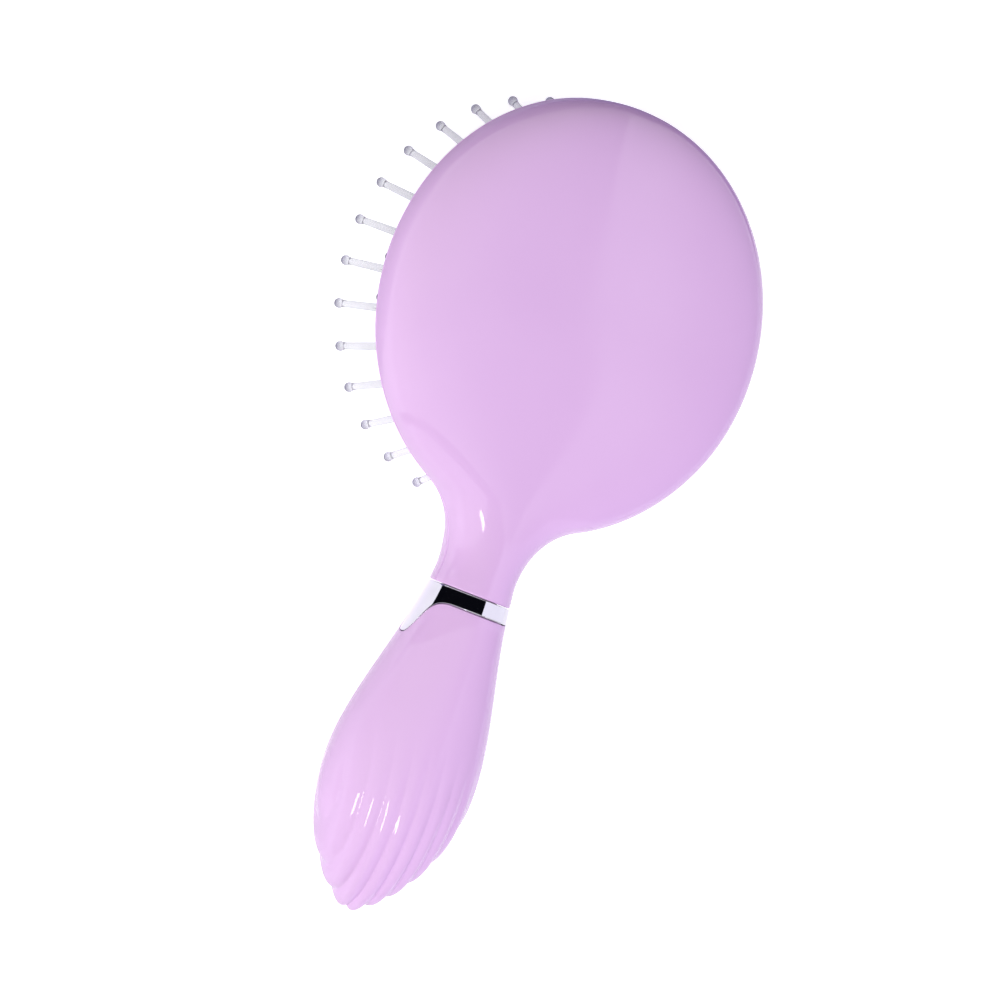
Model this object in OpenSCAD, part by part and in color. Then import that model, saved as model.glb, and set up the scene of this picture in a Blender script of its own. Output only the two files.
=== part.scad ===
// Cushion detangling brush: a round domed head on a short neck, a ringed collar with two side
// tongues, and a hollow handle fluted like a shell.
// Millimetres. Length along Y with the head at +Y, the domed back faces +Z and the pins point down.
// The head's two shells meet at one parting plane. The handle is drawn lying along -Y from the
// collar, and is then tipped down about the collar.

/* [Head] */
// Radius of the round head at the parting line
head_r = 43.9; // [38:0.1:52]
// Distance from the collar to the centre of the head
head_centre_y = 59; // [57:0.1:75]
// Height of the domed back above the parting line
back_h = 12; // [9:0.1:18]
// Fullness of the dome's section, where 2 is an ellipse
back_power = 3.1; // [2:0.1:3.4]
// Depth of the front frame below the parting line
frame_h = 5.6; // [5.4:0.1:9]
// Fullness of the frame's rounded edge, where 1 is a straight slope
frame_power = 1.3; // [1.2:0.1:2]
// Wall of the two head shells
shell_wall = 2; // [1.2:0.1:2.6]
// Width of the frame's bezel, from the rim to the pad's opening
bezel_w = 5.35; // [5:0.05:6.5]

/* [Neck] */
// Radius of the round neck at its waist
neck_r = 8.2; // [7:0.1:10]
// Radius of the curve that sweeps the neck out into the head
neck_fillet_r = 16; // [10:0.5:19]
// Length of the round neck before its front slopes up into the frame
neck_run = 6.5; // [5:0.5:9]

/* [Cushion] */
// Depth of the pad's edge below the parting line
pad_edge_depth = 4.2; // [3.8:0.1:5]
// Height of the air-filled crown below the pad's edge
pad_crown = 7.2; // [4:0.1:9]
// How late the pad turns over towards its edge
pad_power = 3.5; // [2:0.1:5]
// Thickness of the rubber
pad_t = 1.5; // [1:0.1:1.8]
// Width of the flat flange round the pad
flange_w = 1.4; // [1.2:0.1:1.6]
// Height of the ring that clamps the flange
clamp_h = 1.8; // [1:0.1:2.4]
// Radius of the vent hole in the pad
vent_r = 0.6; // [0.3:0.1:0.8]

/* [Pins] */
// Distance from the pad's edge to the outer ring of pins
pin_margin = 3.5; // [3.4:0.1:4.5]
// Distance between the inner rings, as a share of the outer ring's radius
ring_share = 0.2471; // [0.235:0.0001:0.255]
// Pins in the outer ring
ring_1_pins = 30; // [20:1:36]
// Pins in the second ring
ring_2_pins = 22; // [15:1:26]
// Pins in the third ring
ring_3_pins = 15; // [9:1:17]
// Pins in the inner ring
ring_4_pins = 8; // [4:1:8]
// Length of a pin from the pad to the middle of its ball
pin_len = 14.6; // [12:0.1:20]
// Radius of the ball on the tip
ball_r = 1.02; // [0.9:0.01:1.3]
// Radius of the pin where it leaves the pad
pin_base_r = 0.88; // [0.8:0.01:1]
// Radius of the pin behind its ball
pin_tip_r = 0.72; // [0.5:0.01:0.78]
// Radius of the flange that holds a pin behind the pad
pin_flange_r = 1.8; // [1.4:0.1:2]
// Thickness of that flange
pin_flange_t = 0.8; // [0.5:0.1:1.2]

/* [Collar] */
// Radius of the collar and of the neck's end, where they meet
collar_r = 8.65; // [8.2:0.05:9]
// Width of the collar's band
collar_band = 3.3; // [2:0.1:5]
// How far a side tongue hangs below the band
tongue_drop = 8.3; // [5:0.1:9.5]
// Half the angle that a tongue spans round the collar
tongue_half_angle = 49; // [36:1:58]
// How far the tongues are turned from the sides towards the front, in degrees
tongue_turn = 8; // [0:1:12]
// Wall of the collar
collar_wall = 0.9; // [0.6:0.1:1]

/* [Handle] */
// Length of the handle with the collar
handle_len = 68; // [60:0.1:90]
// Distance from the collar's top to the widest place
belly_at = 39.2; // [34:0.1:46]
// Half the handle's width at the widest place
belly_half_w = 16.6; // [12:0.1:20]
// Half the handle's thickness there
belly_half_t = 12.3; // [10:0.1:16]
// How fast the handle widens from the collar
collar_flare = 0.12; // [0.05:0.01:0.35]
// Roundness of the end, smaller is blunter
end_power = 1.46; // [1:0.01:1.6]
// How far the handle tips down towards the pins, in degrees
handle_tilt = 4; // [0:0.1:6]
// Wall of the handle
handle_wall = 2.5; // [2.3:0.1:2.8]
// Distance between two flutes
flute_pitch = 3.7; // [2.6:0.1:5]
// Depth of a flute at the handle's end
flute_depth = 1.2; // [0.4:0.1:1.4]
// Distance from the collar at which the flutes begin
flute_start = 27; // [12:0.5:32]
// Distance from the collar at which they are fully deep
flute_full = 59; // [38:0.5:60]
// How much the flutes lean across the handle
flute_lean = 0.15; // [-0.3:0.01:0.3]

/* [Tang] */
// How far the tang reaches up into the neck
tang_up = 6; // [4:0.5:6.5]
// How far it reaches down into the handle
tang_down = 26; // [14:0.5:40]

/* [Fits] */
// Clearance between parts that are pushed together
fit_gap = 0.1; // [0.05:0.01:0.15]
// Clearance between the tang and the walls around it
tang_gap = 0.2; // [0.15:0.01:0.4]
// Seam that shows between two outer parts
seam = 0.2; // [0.15:0.01:0.3]

/* [Hidden] */
$fn = 48;
shell_colour = "#DDB4E4";
rubber_colour = "#F2F0F4";
clamp_colour = "#E8E4EC";
pin_colour = "#F4F4FA";
collar_colour = "#C9CBD6";
tang_colour = "#D8D8DE";

// Head and neck outline. Both walls follow the same three stretches: the neck, the sweep into the
// head, and the round head. The inset is measured inwards from the outside.
sweep_x = neck_r + neck_fillet_r;
sweep_reach = head_r + neck_fillet_r;
sweep_y = head_centre_y - sqrt(sweep_reach * sweep_reach - sweep_x * sweep_x);
sweep_angle = acos(sweep_x / sweep_reach);
neck_steps = 3;
sweep_steps = 10;
head_steps = 26;
function neck_half(y) = collar_r + (neck_r - collar_r) * ease(y / sweep_y);
function ease(t) = let (c = min(1, max(0, t))) c * c * (3 - 2 * c);
function neck_outline(inset) =
    [for (k = [0:neck_steps - 1]) let (y = sweep_y * k / neck_steps) [neck_half(y) - inset, y]];
function sweep_outline(inset) =
    [for (k = [0:sweep_steps - 1])
        let (a = sweep_angle * k / sweep_steps, r = neck_fillet_r + inset)
        [sweep_x - r * cos(a), sweep_y + r * sin(a)]];
function head_outline(inset) =
    [for (k = [0:head_steps - 1])
        let (first = 90 - sweep_angle, a = first + (180 - first) * k / head_steps, r = head_r - inset)
        [r * sin(a), head_centre_y - r * cos(a)]];
function outline(inset) = concat(neck_outline(inset), sweep_outline(inset), head_outline(inset));

// Height of the back along its middle line, and fullness of its cross-sections
function back_crown(y, inset) =
    y < head_centre_y
        ? neck_r + (back_h - neck_r) * ease(y / head_centre_y) - inset
        : let (t = (y - head_centre_y) / (head_r - inset))
          (back_h - inset) * pow(max(0, 1 - pow(t, back_power)), 1 / back_power);
function section_power(y) = 2 + (back_power - 2) * ease((y - sweep_y) / head_r);

// Bezel round the pad, with a clearance to the pad itself. The front half of the neck slopes up to
// a share of the frame's depth and ends inside the ring, just short of the pad's seat.
bezel_gap = 0.25;
bezel_in = head_r - bezel_w;
pad_r = bezel_in - bezel_gap;
bezel_flat = 0.4;
bezel_bevel = 0.3;
front_share = 0.8;
flange_r = pad_r + flange_w;
seat_r = flange_r + fit_gap;
front_end_y = head_centre_y - seat_r;
function front_depth(y, inset) =
    neck_r + (front_share * frame_h - neck_r) * ease((y - neck_run) / (front_end_y - neck_run)) - inset;

// One half cross-section, from the side at +X over the top to the side at -X. The neck's end is
// cut square to the tipped handle, and the cut fades out up the neck.
function end_shift(y, z) = (seam / 2 - z * tan(handle_tilt)) * (1 - ease(y / sweep_y));
function half_section(half_w, y, height, power, steps, side) =
    [for (k = [0:steps])
        let (a = 180 * k / steps,
             x = half_w * sign(cos(a)) * pow(abs(cos(a)), 2 / power),
             z = (k == 0 || k == steps) ? 0 : height * pow(sin(a), 2 / power))
        [abs(x) < 0.0001 ? 0 : x, y + end_shift(y, side * z), z]];

// Pad: depth of its outside below the parting line, and its slope, at a distance from the centre
function pad_depth(r) = pad_edge_depth + pad_crown * (1 - pow(r / pad_r, pad_power));
function pad_lean(r) = atan(pad_crown * pad_power / pad_r * pow(r / pad_r, pad_power - 1));
pad_steps = 16;
flange_top = pad_edge_depth - pad_t;
clamp_in = pad_r - pad_t / 2;
pin_hole_r = pin_base_r + fit_gap;
hole_len = 3.5 * pad_t;
vent_angle = 30;

// Radius of each ring of pins, and its turn about the head's centre. The outer ring has a pin on the
// middle line, and the vent hole lies halfway between the two inner rings.
ring_1_r = pad_r - pin_margin;
ring_4_r = ring_share * ring_1_r;
ring_3_r = 2 * ring_4_r;
ring_2_r = 3 * ring_4_r;
vent_at = (ring_3_r + ring_4_r) / 2;
ring_1_turn = 90;
ring_2_turn = 90 + 180 / ring_2_pins;
ring_3_turn = 90;
ring_4_turn = 90 + 180 / ring_4_pins;
tip_depth = pad_depth(0) + pin_len + ball_r;

// Facets of the large rings and of the small round parts, and how far a cutter reaches past a face
ring_facets = 96;
pin_facets = 16;
cut_past = 1;

// Handle: half width and half thickness at a distance s below the collar's top. A cubic runs from
// the collar to the belly, and the end closes over as a power of a cosine.
end_len = handle_len - belly_at;
function widen(s, belly) =
    let (t = s / belly_at)
    collar_r * (2 * pow(t, 3) - 3 * t * t + 1) + collar_flare * belly_at * (pow(t, 3) - 2 * t * t + t)
    + belly * (3 * t * t - 2 * pow(t, 3));
function flute_fade(s) = ease((s - flute_start) / (flute_full - flute_start));
flute_soft = 0.012;
flute_centre_share = 0.2;
function flute(x, s) =
    let (turn = 180 * (x - flute_lean * (s - belly_at) - flute_pitch / 4) / flute_pitch)
    1 - sqrt(pow(cos(turn), 2) + flute_soft);
flute_centre = belly_at + flute_centre_share * end_len;
flute_share = flute_depth / (handle_len - flute_centre);

// A point of the handle's outside: fluted points are drawn in towards a place on its middle line
function fluted(x, s, z) =
    let (k = 1 - flute_share * flute_fade(s) * flute(x, s))
    [x * k, -(flute_centre + (s - flute_centre) * k), z * k];
function plain(x, s, z) = [x, -s, z];

// Lower edge of the collar at an angle round from the back, where the tongues hang at the sides.
// A tongue has a blunt tip and hollow flanks. It is half as long at a share of its half angle.
tongue_share = 0.39;
tongue_power = 3.7;
function tongue_fall(off) = 1 / (1 + pow(off / (tongue_share * tongue_half_angle), tongue_power));
function tongue(angle) =
    let (at = 90 + tongue_turn,
         off = min(abs(angle - at), abs(angle + at), abs(angle - 360 + at)),
         last = tongue_fall(tongue_half_angle))
    off >= tongue_half_angle ? 0 : (tongue_fall(off) - last) / (1 - last);
function collar_edge(angle) = collar_band + tongue_drop * tongue(angle);
under_step = collar_wall + fit_gap;

// Rows of the handle's outside and inside, from the collar down
handle_cols = 60;
inner_cols = 15;
blend_run = 5;
blend_at = collar_band + tongue_drop + blend_run;
blend_rows = 4;
belly_rows = 9;
end_rows = 15;
function handle_angle(k, cols) = -90 + 180 * k / cols;
function tube_row(s_of, inset, cols) =
    [for (k = [0:cols])
        let (a = handle_angle(k, cols), s = s_of(a))
        plain((widen(s, belly_half_w) - inset) * sin(a), s,
              k == 0 || k == cols ? 0 : (widen(s, belly_half_t) - inset) * cos(a))];
function fluted_row(s_of) =
    [for (k = [0:handle_cols])
        let (a = handle_angle(k, handle_cols), s = s_of(a))
        fluted(widen(s, belly_half_w) * sin(a), s,
               k == 0 || k == handle_cols ? 0 : widen(s, belly_half_t) * cos(a))];
function end_row(turn, inset, cols) =
    let (s = belly_at + (end_len - inset) * sin(turn), k = pow(cos(turn), end_power))
    [for (j = [0:cols])
        let (a = handle_angle(j, cols),
             x = (belly_half_w - inset) * k * sin(a),
             z = j == 0 || j == cols ? 0 : (belly_half_t - inset) * k * cos(a))
        inset > 0 ? plain(x, s, z) : fluted(x, s, z)];
function half_edge(a, front) = collar_edge(front ? 180 - a : a);
function handle_outside(front) = concat(
    [tube_row(function (a) seam, under_step, handle_cols)],
    [tube_row(function (a) half_edge(a, front) / 2, under_step, handle_cols)],
    [tube_row(function (a) half_edge(a, front) + seam, under_step, handle_cols)],
    [for (k = [0:blend_rows - 1])
        fluted_row(function (a)
            let (top = half_edge(a, front) + seam) top + (blend_at - top) * k / blend_rows)],
    [for (k = [0:belly_rows - 1])
        fluted_row(function (a) blend_at + (belly_at - blend_at) * k / belly_rows)],
    [for (k = [0:end_rows - 1]) end_row(90 * k / end_rows, 0, handle_cols)]);
handle_tip = fluted(0, handle_len, 0);
under_rows = 3;
inner_rows = under_rows + blend_rows + belly_rows;
handle_inside = concat(
    [for (k = [0:inner_rows - 1])
        tube_row(function (a) seam + (belly_at - seam) * k / inner_rows, handle_wall, inner_cols)],
    [for (k = [0:end_rows - 1]) end_row(90 * k / end_rows, handle_wall, inner_cols)]);
handle_inner_tip = [0, -(handle_len - handle_wall), 0];

collar_cols = 72;
collar_rows = 5;
collar_crowding = 20;
function collar_angle(k) = let (a = 360 * k / collar_cols) a + collar_crowding * sin(2 * a);
function collar_row(i, inset) =
    [for (k = [0:collar_cols - 1])
        let (a = collar_angle(k), s = seam / 2 + (collar_edge(a) - seam / 2) * i / collar_rows)
        [(widen(s, belly_half_w) - inset) * sin(a), -s, (widen(s, belly_half_t) - inset) * cos(a)]];

bore_r = collar_r - handle_wall;
tang_r = bore_r - tang_gap;
neck_bore_r = min(collar_r, neck_r) - shell_wall;
tang_neck_r = neck_bore_r - tang_gap - tang_up * tan(handle_tilt);

back_cols = 30;
inner_back_cols = 15;
neck_cols = 20;
inner_neck_cols = 10;
back_outline = outline(0);
inner_outline = outline(shell_wall);
front_half_w = sqrt(pow(head_r, 2) - pow(seat_r, 2));
front_outline = concat(
    [for (p = back_outline) if (p[1] < front_end_y) p], [[front_half_w, front_end_y]]);

// The origin lies under the middle of the whole brush, level with the lowest pin
middle_y = (head_centre_y + head_r + handle_tip[1] * cos(handle_tilt)) / 2;

function joined(rows) = [for (row = rows) for (p = row) p];

// Faces of a shell between two grids that share their side seams. The rows end at a tip, or at an
// open end where the tips are left out.
function skin(rows, cols, at, inward) =
    [for (i = [0:rows - 2]) for (j = [0:cols - 1])
        let (a = at + i * (cols + 1) + j, b = a + 1, c = b + cols + 1, d = a + cols + 1)
        each inward ? [[a, d, c], [a, c, b]] : [[a, b, c], [a, c, d]]];
function seam_faces(rows, cols, inner_at, cols_in) =
    [for (i = [0:rows - 2])
        let (a = i * (cols + 1), b = a + cols + 1, c = inner_at + i * (cols_in + 1), d = c + cols_in + 1)
        each [[a, b, d, c], [b + cols, a + cols, c + cols_in, d + cols_in]]];
// The end face is a strip of triangles, because a cut that follows a tilt is never quite flat. Each
// inner point serves as many outer points as there are outer columns to an inner one.
function end_strip(cols, at, cols_in, in_at, first) =
    let (n = cols / cols_in, h = ceil(n / 2))
    [for (j = [0:cols_in - 1])
        let (o = at + n * j, c = in_at + j)
        each concat(
            [for (m = [0:n - 1]) turned([o + m + 1, o + m, m < h ? c : c + 1], first)],
            [turned([o + h, c, c + 1], first)])];
function turned(face, keep) = keep ? face : [face[2], face[1], face[0]];

module half_shell(outer, tip, inner, inner_tip) {
    rows = len(outer);
    cols = len(outer[0]) - 1;
    cols_in = len(inner[0]) - 1;
    tip_at = rows * (cols + 1);
    inner_at = tip_at + 1;
    inner_tip_at = inner_at + rows * (cols_in + 1);
    last = (rows - 1) * (cols + 1);
    last_in = inner_at + (rows - 1) * (cols_in + 1);
    polyhedron(
        points = concat(joined(outer), [tip], joined(inner), [inner_tip]),
        faces = concat(
            skin(rows, cols, 0, false),
            [for (j = [0:cols - 1]) [last + j, last + j + 1, tip_at]],
            skin(rows, cols_in, inner_at, true),
            [for (j = [0:cols_in - 1]) [last_in + j + 1, last_in + j, inner_tip_at]],
            seam_faces(rows, cols, inner_at, cols_in),
            [[last, tip_at, inner_tip_at, last_in]],
            [[tip_at, last + cols, last_in + cols_in, inner_tip_at]],
            end_strip(cols, 0, cols_in, inner_at, true)));
}

module half_tube(outer, inner) {
    rows = len(outer);
    cols = len(outer[0]) - 1;
    cols_in = len(inner[0]) - 1;
    inner_at = rows * (cols + 1);
    polyhedron(
        points = concat(joined(outer), joined(inner)),
        faces = concat(
            skin(rows, cols, 0, false),
            skin(rows, cols_in, inner_at, true),
            seam_faces(rows, cols, inner_at, cols_in),
            end_strip(cols, 0, cols_in, inner_at, true),
            end_strip(cols, (rows - 1) * (cols + 1), cols_in,
                inner_at + (rows - 1) * (cols_in + 1), false)));
}

module sleeve(outer, inner) {
    rows = len(outer);
    cols = len(outer[0]);
    inner_at = rows * cols;
    polyhedron(
        points = concat(joined(outer), joined(inner)),
        faces = concat(
            [for (i = [0:rows - 2]) for (j = [0:cols - 1])
                let (e = (j + 1) % cols, a = i * cols + j, b = i * cols + e,
                     c = b + cols, d = a + cols, n = inner_at)
                each [[a, b, c], [a, c, d], [n + a, n + d, n + c], [n + a, n + c, n + b]]],
            [for (j = [0:cols - 1])
                let (e = (j + 1) % cols, last = (rows - 1) * cols, n = inner_at)
                each [
                    [e, j, n + j], [e, n + j, n + e],
                    [last + j, last + e, n + last + e], [last + j, n + last + e, n + last + j]]]));
}

module placed() {
    translate([0, -middle_y, tip_depth]) children();
}

module tipped() {
    placed() rotate([handle_tilt, 0, 0]) children();
}

module at_head() {
    placed() translate([0, head_centre_y, 0]) children();
}

module back_shell() {
    color(shell_colour) placed() half_shell(
        [for (p = back_outline)
            half_section(p[0], p[1], back_crown(p[1], 0), section_power(p[1]), back_cols, 1)],
        [0, head_centre_y + head_r, 0],
        [for (p = inner_outline)
            half_section(p[0], p[1], back_crown(p[1], shell_wall), section_power(p[1]),
                inner_back_cols, 1)],
        [0, head_centre_y + head_r - shell_wall, 0]);
}

// The frame is a turned ring with a rounded bezel, a ledge for the pad's flange, and the neck's
// front half joined on
module bezel_ring() {
    ledge = pad_edge_depth + fit_gap / 2;
    top = seam / 2;
    round_w = bezel_w - bezel_flat;
    seat_top = 1.2;
    mouth_top = 0.6;
    arc_steps = 12;
    rotate_extrude($fn = ring_facets) polygon(concat(
        [for (k = [0:arc_steps])
            let (a = 90 * k / arc_steps, c = pow(cos(a), 2 / frame_power),
                 d = pow(sin(a), 2 / frame_power))
            [head_r - round_w * (1 - c), -top - (frame_h - top) * d]],
        [[bezel_in, -frame_h + bezel_bevel], [bezel_in, -ledge], [seat_r, -ledge],
         [seat_r, -seat_top], [head_r - shell_wall, -mouth_top], [head_r - shell_wall, -top]]));
}

module neck_front() {
    mirror([0, 0, 1]) translate([0, 0, seam / 2]) half_tube(
        [for (p = front_outline)
            half_section(p[0], p[1], front_depth(p[1], seam / 2), 2, neck_cols, -1)],
        [for (p = front_outline)
            half_section(p[0] - shell_wall, p[1], front_depth(p[1], shell_wall), 2,
                inner_neck_cols, -1)]);
}

module front_frame() {
    color(shell_colour) {
        at_head() bezel_ring();
        placed() neck_front();
    }
}

module at_pad(r, turn) {
    at_head() rotate([0, 0, turn]) translate([r, 0, -pad_depth(r)]) rotate([0, -pad_lean(r), 0])
        children();
}

module ring_of(r, count, turn) {
    for (k = [0:count - 1]) at_pad(r, turn + 360 * k / count) children();
}

module pad_hole(r) {
    translate([0, 0, -pad_t]) cylinder(r = r, h = hole_len, $fn = pin_facets);
}

module cushion_pad() {
    wall = [for (k = [0:pad_steps]) pad_r * k / pad_steps];
    inside = [for (k = [pad_steps - 1:-1:0])
        let (r = wall[k], lean = pad_lean(r))
        [max(0, r - pad_t * sin(lean)), pad_t * cos(lean) - pad_depth(r)]];
    color(rubber_colour) difference() {
        at_head() rotate_extrude($fn = ring_facets) polygon(concat(
            [for (r = wall) [r, -pad_depth(r)]],
            [[flange_r, -pad_edge_depth], [flange_r, -flange_top], [clamp_in, -flange_top]],
            inside));
        ring_of(ring_1_r, ring_1_pins, ring_1_turn) pad_hole(pin_hole_r);
        ring_of(ring_2_r, ring_2_pins, ring_2_turn) pad_hole(pin_hole_r);
        ring_of(ring_3_r, ring_3_pins, ring_3_turn) pad_hole(pin_hole_r);
        ring_of(ring_4_r, ring_4_pins, ring_4_turn) pad_hole(pin_hole_r);
        at_pad(0, 0) pad_hole(pin_hole_r);
        at_pad(vent_at, vent_angle) pad_hole(vent_r);
    }
}

module pad_clamp_ring() {
    color(clamp_colour) at_head() translate([0, 0, -flange_top + fit_gap / 2]) difference() {
        cylinder(r = flange_r, h = clamp_h, $fn = ring_facets);
        translate([0, 0, -cut_past])
            cylinder(r = clamp_in, h = clamp_h + 2 * cut_past, $fn = ring_facets);
    }
}

module pin() {
    behind = pad_t + fit_gap;
    translate([0, 0, behind]) cylinder(r = pin_flange_r, h = pin_flange_t, $fn = pin_facets);
    cylinder(r = pin_base_r, h = behind + pin_flange_t / 2, $fn = pin_facets);
    translate([0, 0, -pin_len])
        cylinder(r1 = pin_tip_r, r2 = pin_base_r, h = pin_len, $fn = pin_facets);
    translate([0, 0, -pin_len]) sphere(r = ball_r, $fn = pin_facets);
}

module pins_ring_1() {
    color(pin_colour) ring_of(ring_1_r, ring_1_pins, ring_1_turn) pin();
}

module pins_ring_2() {
    color(pin_colour) ring_of(ring_2_r, ring_2_pins, ring_2_turn) pin();
}

module pins_ring_3() {
    color(pin_colour) ring_of(ring_3_r, ring_3_pins, ring_3_turn) pin();
}

module pins_ring_4() {
    color(pin_colour) ring_of(ring_4_r, ring_4_pins, ring_4_turn) pin();
}

module centre_pin() {
    color(pin_colour) at_pad(0, 0) pin();
}

module collar() {
    color(collar_colour) tipped() sleeve(
        [for (i = [0:collar_rows]) collar_row(i, 0)],
        [for (i = [0:collar_rows]) collar_row(i, collar_wall)]);
}

module handle_half(front) {
    half_shell(handle_outside(front), handle_tip, handle_inside, handle_inner_tip);
}

module handle_back() {
    color(shell_colour) tipped() handle_half(false);
}

module handle_front() {
    color(shell_colour) tipped() mirror([0, 0, 1]) handle_half(true);
}

// The tang is round and straight. Its end in the neck is thinner, to clear the handle's tilt.
module tang() {
    color(tang_colour) tipped() rotate([90, 0, 0]) {
        cylinder(r = tang_r, h = tang_down);
        translate([0, 0, -tang_up]) cylinder(r = tang_neck_r, h = tang_up + cut_past);
    }
}

back_shell();
front_frame();
cushion_pad();
pad_clamp_ring();
pins_ring_1();
pins_ring_2();
pins_ring_3();
pins_ring_4();
centre_pin();
collar();
handle_back();
handle_front();
tang();
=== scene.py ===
import math

import bmesh
import bpy
import numpy as np
from mathutils import Matrix, Vector


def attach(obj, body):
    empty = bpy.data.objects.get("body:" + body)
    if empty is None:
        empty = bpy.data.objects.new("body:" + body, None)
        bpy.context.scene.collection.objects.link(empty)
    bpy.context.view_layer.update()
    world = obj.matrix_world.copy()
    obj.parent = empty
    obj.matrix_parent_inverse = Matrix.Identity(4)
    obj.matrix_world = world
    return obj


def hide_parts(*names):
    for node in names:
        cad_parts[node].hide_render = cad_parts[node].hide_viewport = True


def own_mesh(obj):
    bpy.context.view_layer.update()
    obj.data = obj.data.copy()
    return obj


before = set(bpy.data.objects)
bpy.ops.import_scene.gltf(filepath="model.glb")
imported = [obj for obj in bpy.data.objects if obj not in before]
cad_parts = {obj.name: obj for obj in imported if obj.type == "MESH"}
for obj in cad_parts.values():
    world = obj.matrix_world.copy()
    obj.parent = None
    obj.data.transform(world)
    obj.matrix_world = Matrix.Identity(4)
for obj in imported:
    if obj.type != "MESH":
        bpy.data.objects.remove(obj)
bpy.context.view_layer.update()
print("frame loaded with", len(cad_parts), "nodes")

# All shapes are worked out in millimetres, lying as they are drawn: the parting plane of the head is
# z = 0, the collar's top is y = 0 and the head is at +Y. Once made, they are moved to the frame.


def ease(t):
    c = np.clip(t, 0, 1)
    return c * c * (3 - 2 * c)


def hexColour(code):  # sRGB hex to the linear colour that a shader socket wants
    parts = [int(code[i:i + 2], 16) / 255 for i in (1, 3, 5)]
    return [c / 12.92 if c <= 0.04045 else ((c + 0.055) / 1.055) ** 2.4 for c in parts] + [1.0]


def setInputs(node, inputs):
    # inputs: socket name or number, with its value, or the output or node that feeds it
    for key, value in inputs.items():
        if isinstance(value, bpy.types.Node):
            value = next(output for output in value.outputs if output.enabled)
        if isinstance(value, bpy.types.NodeSocket):
            node.id_data.links.new(value, node.inputs[key])
        else:
            node.inputs[key].default_value = value


def addNode(tree, kind, inputs=None, **settings):
    node = tree.nodes.new(kind)
    for key, value in settings.items():
        setattr(node, key, value)
    setInputs(node, inputs or {})
    return node


def addPiece(name, data):
    piece = bpy.data.objects.new(name, data)
    bpy.context.scene.collection.objects.link(piece)
    return piece


# Finishes. Patterns read the piece's own coordinates in metres, so at a scale of 1000 they are 1 mm apart.

def newFinish(name):
    material = bpy.data.materials.new(name)
    material.use_nodes = True
    tree = material.node_tree
    place = addNode(tree, "ShaderNodeTexCoord").outputs["Object"]
    return material, tree, tree.nodes["Principled BSDF"], place


def mouldedLilacAbs():
    # Glossy ABS, injection moulded in a polished tool: an even pale lilac that clouds very slightly
    # where the pigment flowed, a faint orange-peel in the gloss, and fine rub marks from handling.
    material, tree, shader, place = newFinish("moulded lilac ABS")
    cloud = addNode(tree, "ShaderNodeTexNoise", {"Vector": place, "Scale": 45.0, "Detail": 2.0})  # 22 mm
    colour = addNode(tree, "ShaderNodeMix", {
        "Factor": cloud, "A": hexColour("#DDB3E6"), "B": hexColour("#E1B9E9")}, data_type="RGBA")
    # orange-peel 1.4 mm apart, coarser than the real 0.3 mm so that it shows, over sink marks 17 mm apart
    peel = addNode(tree, "ShaderNodeTexNoise", {"Vector": place, "Scale": 700.0, "Detail": 1.0})
    sink = addNode(tree, "ShaderNodeTexNoise", {"Vector": place, "Scale": 60.0, "Detail": 1.0})
    skin = addNode(tree, "ShaderNodeMix", {"Factor": 0.35, "A": sink, "B": peel})
    bump = addNode(tree, "ShaderNodeBump", {"Strength": 0.03, "Distance": 0.00006, "Height": skin})
    # rub marks 0.4 mm wide and 4 mm long
    stretch = addNode(tree, "ShaderNodeMapping", {"Vector": place, "Rotation": (0, 0, 0.5), "Scale": (1, 9, 1)})
    rub = addNode(tree, "ShaderNodeTexNoise", {"Vector": stretch, "Scale": 260.0, "Detail": 4.0})
    gloss = addNode(tree, "ShaderNodeMapRange", {
        "Value": rub, "From Min": 0.35, "From Max": 0.75, "To Min": 0.03, "To Max": 0.07})
    setInputs(shader, {"Base Color": colour, "Normal": bump, "Roughness": gloss, "IOR": 1.53})
    return material


def mouldedRubber():
    # Soft moulded rubber: a pale skin with the fine spark-eroded grain of its tool, dull and slightly
    # uneven in colour.
    material, tree, shader, place = newFinish("moulded pad rubber")
    cloud = addNode(tree, "ShaderNodeTexNoise", {"Vector": place, "Scale": 90.0, "Detail": 3.0})  # 11 mm
    colour = addNode(tree, "ShaderNodeMix", {
        "Factor": cloud, "A": hexColour("#DCCFE4"), "B": hexColour("#E9DFEF")}, data_type="RGBA")
    grain = addNode(tree, "ShaderNodeTexNoise", {"Vector": place, "Scale": 2800.0, "Detail": 2.0})  # 0.36 mm
    bump = addNode(tree, "ShaderNodeBump", {"Strength": 0.25, "Distance": 0.00005, "Height": grain})
    dull = addNode(tree, "ShaderNodeMapRange", {
        "Value": cloud, "From Min": 0.3, "From Max": 0.7, "To Min": 0.46, "To Max": 0.6})
    setInputs(shader, {"Base Color": colour, "Normal": bump, "Roughness": dull, "IOR": 1.52})
    return material


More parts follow.
